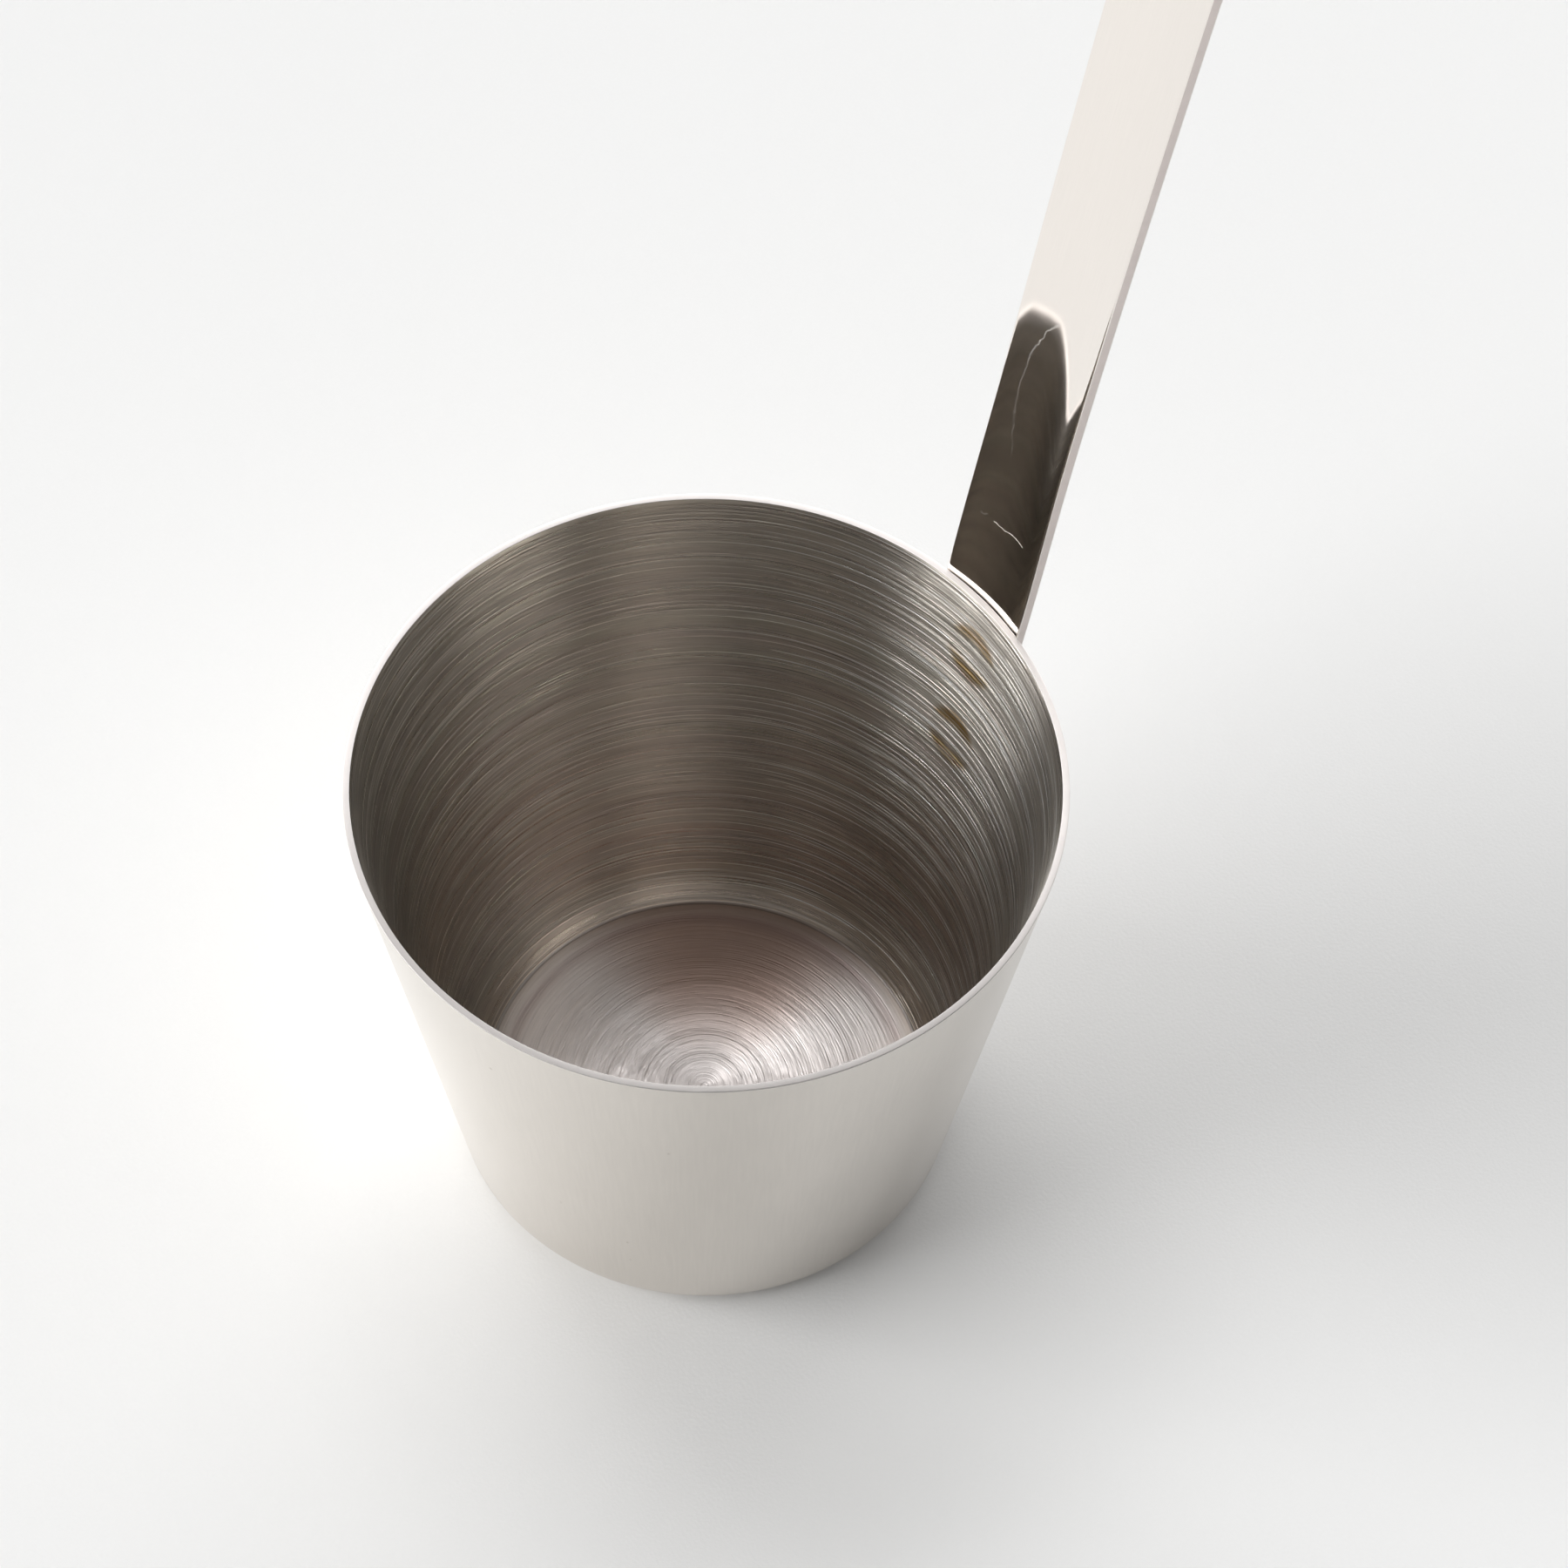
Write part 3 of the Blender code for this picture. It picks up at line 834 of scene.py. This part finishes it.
def strap_blank():
    """The strap before it is bent: X along it from the rim, Y across it, Z away from the cup."""
    shape = bmesh.new()
    shape.faces.layers.int.new("zone")
    shape.loops.layers.uv.new("strip")
    rows = strap_rows()
    add_patch(shape, [row_points(*row) for row in rows])
    add_patch(shape, [slot_wall_points(inner, way) for _, inner, way in rows if way])
    bmesh.ops.remove_doubles(shape, verts=shape.verts, dist=merge_distance)
    bmesh.ops.dissolve_degenerate(shape, edges=shape.edges, dist=merge_distance / 2)
    bmesh.ops.recalc_face_normals(shape, faces=shape.faces)
    mesh = bpy.data.meshes.new("strap blank")
    shape.to_mesh(mesh)
    shape.free()
    return mesh


def bending_tree():
    """Bends the strap along the wall and outward above the rim, and gives it its twist."""
    sizes = ("Rim X", "Rim Z", "Wall lean", "Bend length", "Set", "Bow", "Twist", "Twist length")
    board, given = shape_board("bent strap", sizes)
    along, pressed_side, pressed_out = board.parts(board.add("GeometryNodeInputPosition"))
    twist = board.step(along / given["Twist length"], 0.0, 1.0) * given["Twist"]
    twist_sine = board.maths("SINE", twist)
    twist_cosine = board.maths("COSINE", twist)
    sideways = pressed_side * twist_cosine - pressed_out * twist_sine
    outward = pressed_out * twist_cosine + pressed_side * twist_sine

    from_bend = along + given["Bend length"]
    below = board.maths("MINIMUM", from_bend, 0.0)
    in_bend = board.maths("MINIMUM", board.maths("MAXIMUM", from_bend, 0.0), given["Bend length"])
    above = board.maths("MAXIMUM", along, 0.0)
    bend = given["Set"] / given["Bend length"]
    low = given["Wall lean"]
    high = low + given["Set"]
    middle_turn = low + bend * in_bend
    top_turn = high + given["Bow"] * above
    sine = {turn: board.maths("SINE", turn) for turn in (low, high, middle_turn, top_turn)}
    cosine = {turn: board.maths("COSINE", turn) for turn in (low, high, middle_turn, top_turn)}
    # Each turn's two sums below are measured from the rim, where in_bend is the bend's length.
    x = below * sine[low] + (cosine[high] - cosine[middle_turn]) / bend
    x = x + (cosine[high] - cosine[top_turn]) / given["Bow"]
    z = below * cosine[low] + (sine[middle_turn] - sine[high]) / bend
    z = z + (sine[top_turn] - sine[high]) / given["Bow"]
    lean = middle_turn + given["Bow"] * above
    x = given["Rim X"] + x + outward * board.maths("COSINE", lean)
    z = given["Rim Z"] + z - outward * board.maths("SINE", lean)
    moved = {"Geometry": given["Geometry"], "Position": board.vector(x, sideways, z)}
    bent = board.add("GeometryNodeSetPosition", {}, moved)
    # Raising the blank upright mirrors it, so its faces are flipped to point outward again.
    bent = board.add("GeometryNodeFlipFaces", {}, {0: bent})
    return finish_tree(board, bent, strap_steels)


strap_sizes = {
    "Rim X": rim_radius + strap_gap,
    "Rim Z": rim_height,
    "Wall lean": wall_lean,
    "Bend length": strap_bend,
    "Set": strap_set,
    "Bow": strap_bow,
    "Twist": strap_twist,
    "Twist length": strap_twist_length,
}
strap = made_by("handle_strap", strap_blank(), bending_tree(), strap_sizes)
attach(strap, "root")
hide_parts("handle")

# Spot welds. Each is a flat nugget where the strap and the wall were fused between two copper
# electrodes. Its heat browned the steel round it. It shows only in the crack beside the strap.
nugget_radius = 2.4 * mm
nugget_sink = 0.12 * mm         # into each of the two sheets
nugget_thickness = strap_gap + lip_flare + 2 * nugget_sink
nugget_columns = 48
nugget_brown = (0.30, 0.17, 0.07)
nugget_olive = (0.22, 0.20, 0.13)


def nugget_finish(board):
    """Bare steel that was melted and cooled, brown and slightly rough."""
    x, y, z = board.parts(board.add("ShaderNodeTexCoord", {}, {}, "Object"))
    scale = board.noise(board.vector(x / (0.5 * mm), y / (0.5 * mm), z / (0.5 * mm)), detail=3.0)
    colour = board.mix(board.step(scale, 0.35, 0.65), nugget_brown, nugget_olive)
    return colour, 0.42 + scale * 0.12, scale * (0.01 * mm)


nugget_steel = steel("steel, heat tinted", nugget_finish)


def nugget_tree():
    """Turns a section about X, then leans it against the wall at its weld."""
    sizes = ("Columns", "Place X", "Place Y", "Place Z", "Lean")
    board, given = shape_board("weld nugget", sizes)
    section = given["Geometry"]
    position = board.add("GeometryNodeInputPosition")
    index = board.add("GeometryNodeInputIndex")
    rows = board.add("GeometryNodeAttributeDomainSize", {}, {0: section})
    lines = {"Vertices X": given["Columns"] + 1, "Vertices Y": rows}
    grid = board.add("GeometryNodeMeshGrid", {}, lines)
    picked = {"Geometry": section, "Value": position, "Index": index % rows}
    point = board.add("GeometryNodeSampleIndex", {"data_type": "FLOAT_VECTOR"}, picked)
    radius, _, depth = board.parts(point)
    angle = board.maths("FLOOR", index / rows) / given["Columns"] * math.tau
    across = radius * board.maths("SINE", angle)
    rise = radius * board.maths("COSINE", angle)
    lean_sine = board.maths("SINE", given["Lean"])
    lean_cosine = board.maths("COSINE", given["Lean"])
    x = given["Place X"] + depth * lean_cosine + rise * lean_sine
    z = given["Place Z"] + rise * lean_cosine - depth * lean_sine
    place = board.vector(x, given["Place Y"] + across, z)
    turned = board.add("GeometryNodeSetPosition", {}, {"Geometry": grid, "Position": place})
    closed = board.add("GeometryNodeMergeByDistance", {}, {0: turned, "Distance": merge_distance})
    return finish_tree(board, closed, (nugget_steel,))


def nugget_section(thickness):
    """Half section of a disc with a rounded edge, as (radius, depth, zone)."""
    half = thickness / 2
    top = arc((nugget_radius - half, half), half, 90, -90, steps=8)
    inner = [(r * mm, thickness) for r in (0.0, 0.8, 1.6)]
    outer = [(r * mm, 0.0) for r in (1.6, 0.8, 0.0)]
    return [(r, d, 0) for r, d in inner + top + outer]


for name, depth in zip(("upper", "lower"), weld_depths):
    wall_radius = wall_top_radius - wall_slope * depth
    nugget_sizes = {
        "Columns": nugget_columns,
        "Place X": math.sqrt(wall_radius ** 2 - weld_side ** 2) - nugget_sink,
        "Place Y": weld_side,
        "Place Z": rim_height - depth,
        "Lean": wall_lean,
    }
    blank = section_mesh(nugget_section(nugget_thickness))
    nugget = made_by("weld_nugget_" + name, blank, nugget_tree(), nugget_sizes)
    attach(nugget, "root")
    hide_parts("spot_weld_" + name)

# Floor. A large sheet of smooth white paper that lies flat on a table, under the ladle, and
# runs out of view on every side.
paper_reach = 1.5
paper_steps = 24
paper_white = (0.905, 0.905, 0.9)


def paper_material():
    """Smooth white paper with fine fibres."""
    material = bpy.data.materials.new("paper, white")
    material.use_nodes = True
    board = Board(material.node_tree)
    shader = material.node_tree.nodes["Principled BSDF"]
    x, y, _ = board.parts(board.add("ShaderNodeTexCoord", {}, {}, "Object"))
    fibres = board.noise(board.vector(x / (0.35 * mm), y / (0.35 * mm), 0.0), detail=4.0)
    colour = board.scaled(paper_white, 0.985 + fibres * 0.03)
    board.plug(shader.inputs["Base Color"], colour)
    board.plug(shader.inputs["Roughness"], 0.75 + fibres * 0.15)
    relief = board.add("ShaderNodeBump", {}, {"Distance": 0.02 * mm, "Height": fibres})
    board.plug(shader.inputs["Normal"], relief)
    return material


paper_shape = bmesh.new()
bmesh.ops.create_grid(paper_shape, x_segments=paper_steps, y_segments=paper_steps, size=paper_reach)
paper_mesh = bpy.data.meshes.new("paper")
paper_shape.to_mesh(paper_mesh)
paper_shape.free()
paper_mesh.materials.append(paper_material())
paper = bpy.data.objects.new("paper", paper_mesh)
bpy.context.scene.collection.objects.link(paper)

# Light. Soft daylight from a window at the left and one at the back, a skylight and a dim opening
# at the right, in a room that is dim elsewhere. A colour shows about as it is written.
left_window = (189, 22, -20, 35, 8.2)    # azimuth from the picture's right, half the width,
back_window = (96, 38, -20, 28, 4.9)     # bottom and top, all in degrees, and the brightness,
skylight = (113, 35, 58, 70, 4.2)        # where 1 is white
right_opening = (22, 37, -20, 78, 0.4)
window_lights = (left_window, back_window, skylight, right_opening)
window_edge = 6                          # degrees from the edge's middle to where it ends
room_light = 0.2

world = bpy.data.worlds.new("room")
world.use_nodes = True
room = Board(world.node_tree)
sky_x, sky_y, sky_height = room.parts(room.add("ShaderNodeTexCoord", {}, {}, "Generated"))
level_share = (sky_x * sky_x + sky_y * sky_y) ** 0.5


def towards_azimuth(azimuth):
    """Cosine of the turn between a ray's azimuth and this one of the picture, in degrees."""
    return facing(sky_x, sky_y, azimuth) / level_share


def above_elevation(elevation):
    """0 below this elevation, in degrees, and 1 above it, across a window's soft edge."""
    low, high = (math.sin(math.radians(elevation + s * window_edge)) for s in (-1, 1))
    return room.step(sky_height, low, high)


light = room_light
for azimuth, half_width, bottom, top, brightness in window_lights:
    outside_edge, inside_edge = (math.radians(half_width + s * window_edge) for s in (1, -1))
    across = room.step(towards_azimuth(azimuth), math.cos(outside_edge), math.cos(inside_edge))
    upright = above_elevation(bottom) * (1 - above_elevation(top))
    light = across * upright * brightness + light
room.plug(world.node_tree.nodes["Background"].inputs["Color"], room.vector(light, light, light))
bpy.context.scene.world = world
bpy.context.scene.view_settings.view_transform = "Standard"
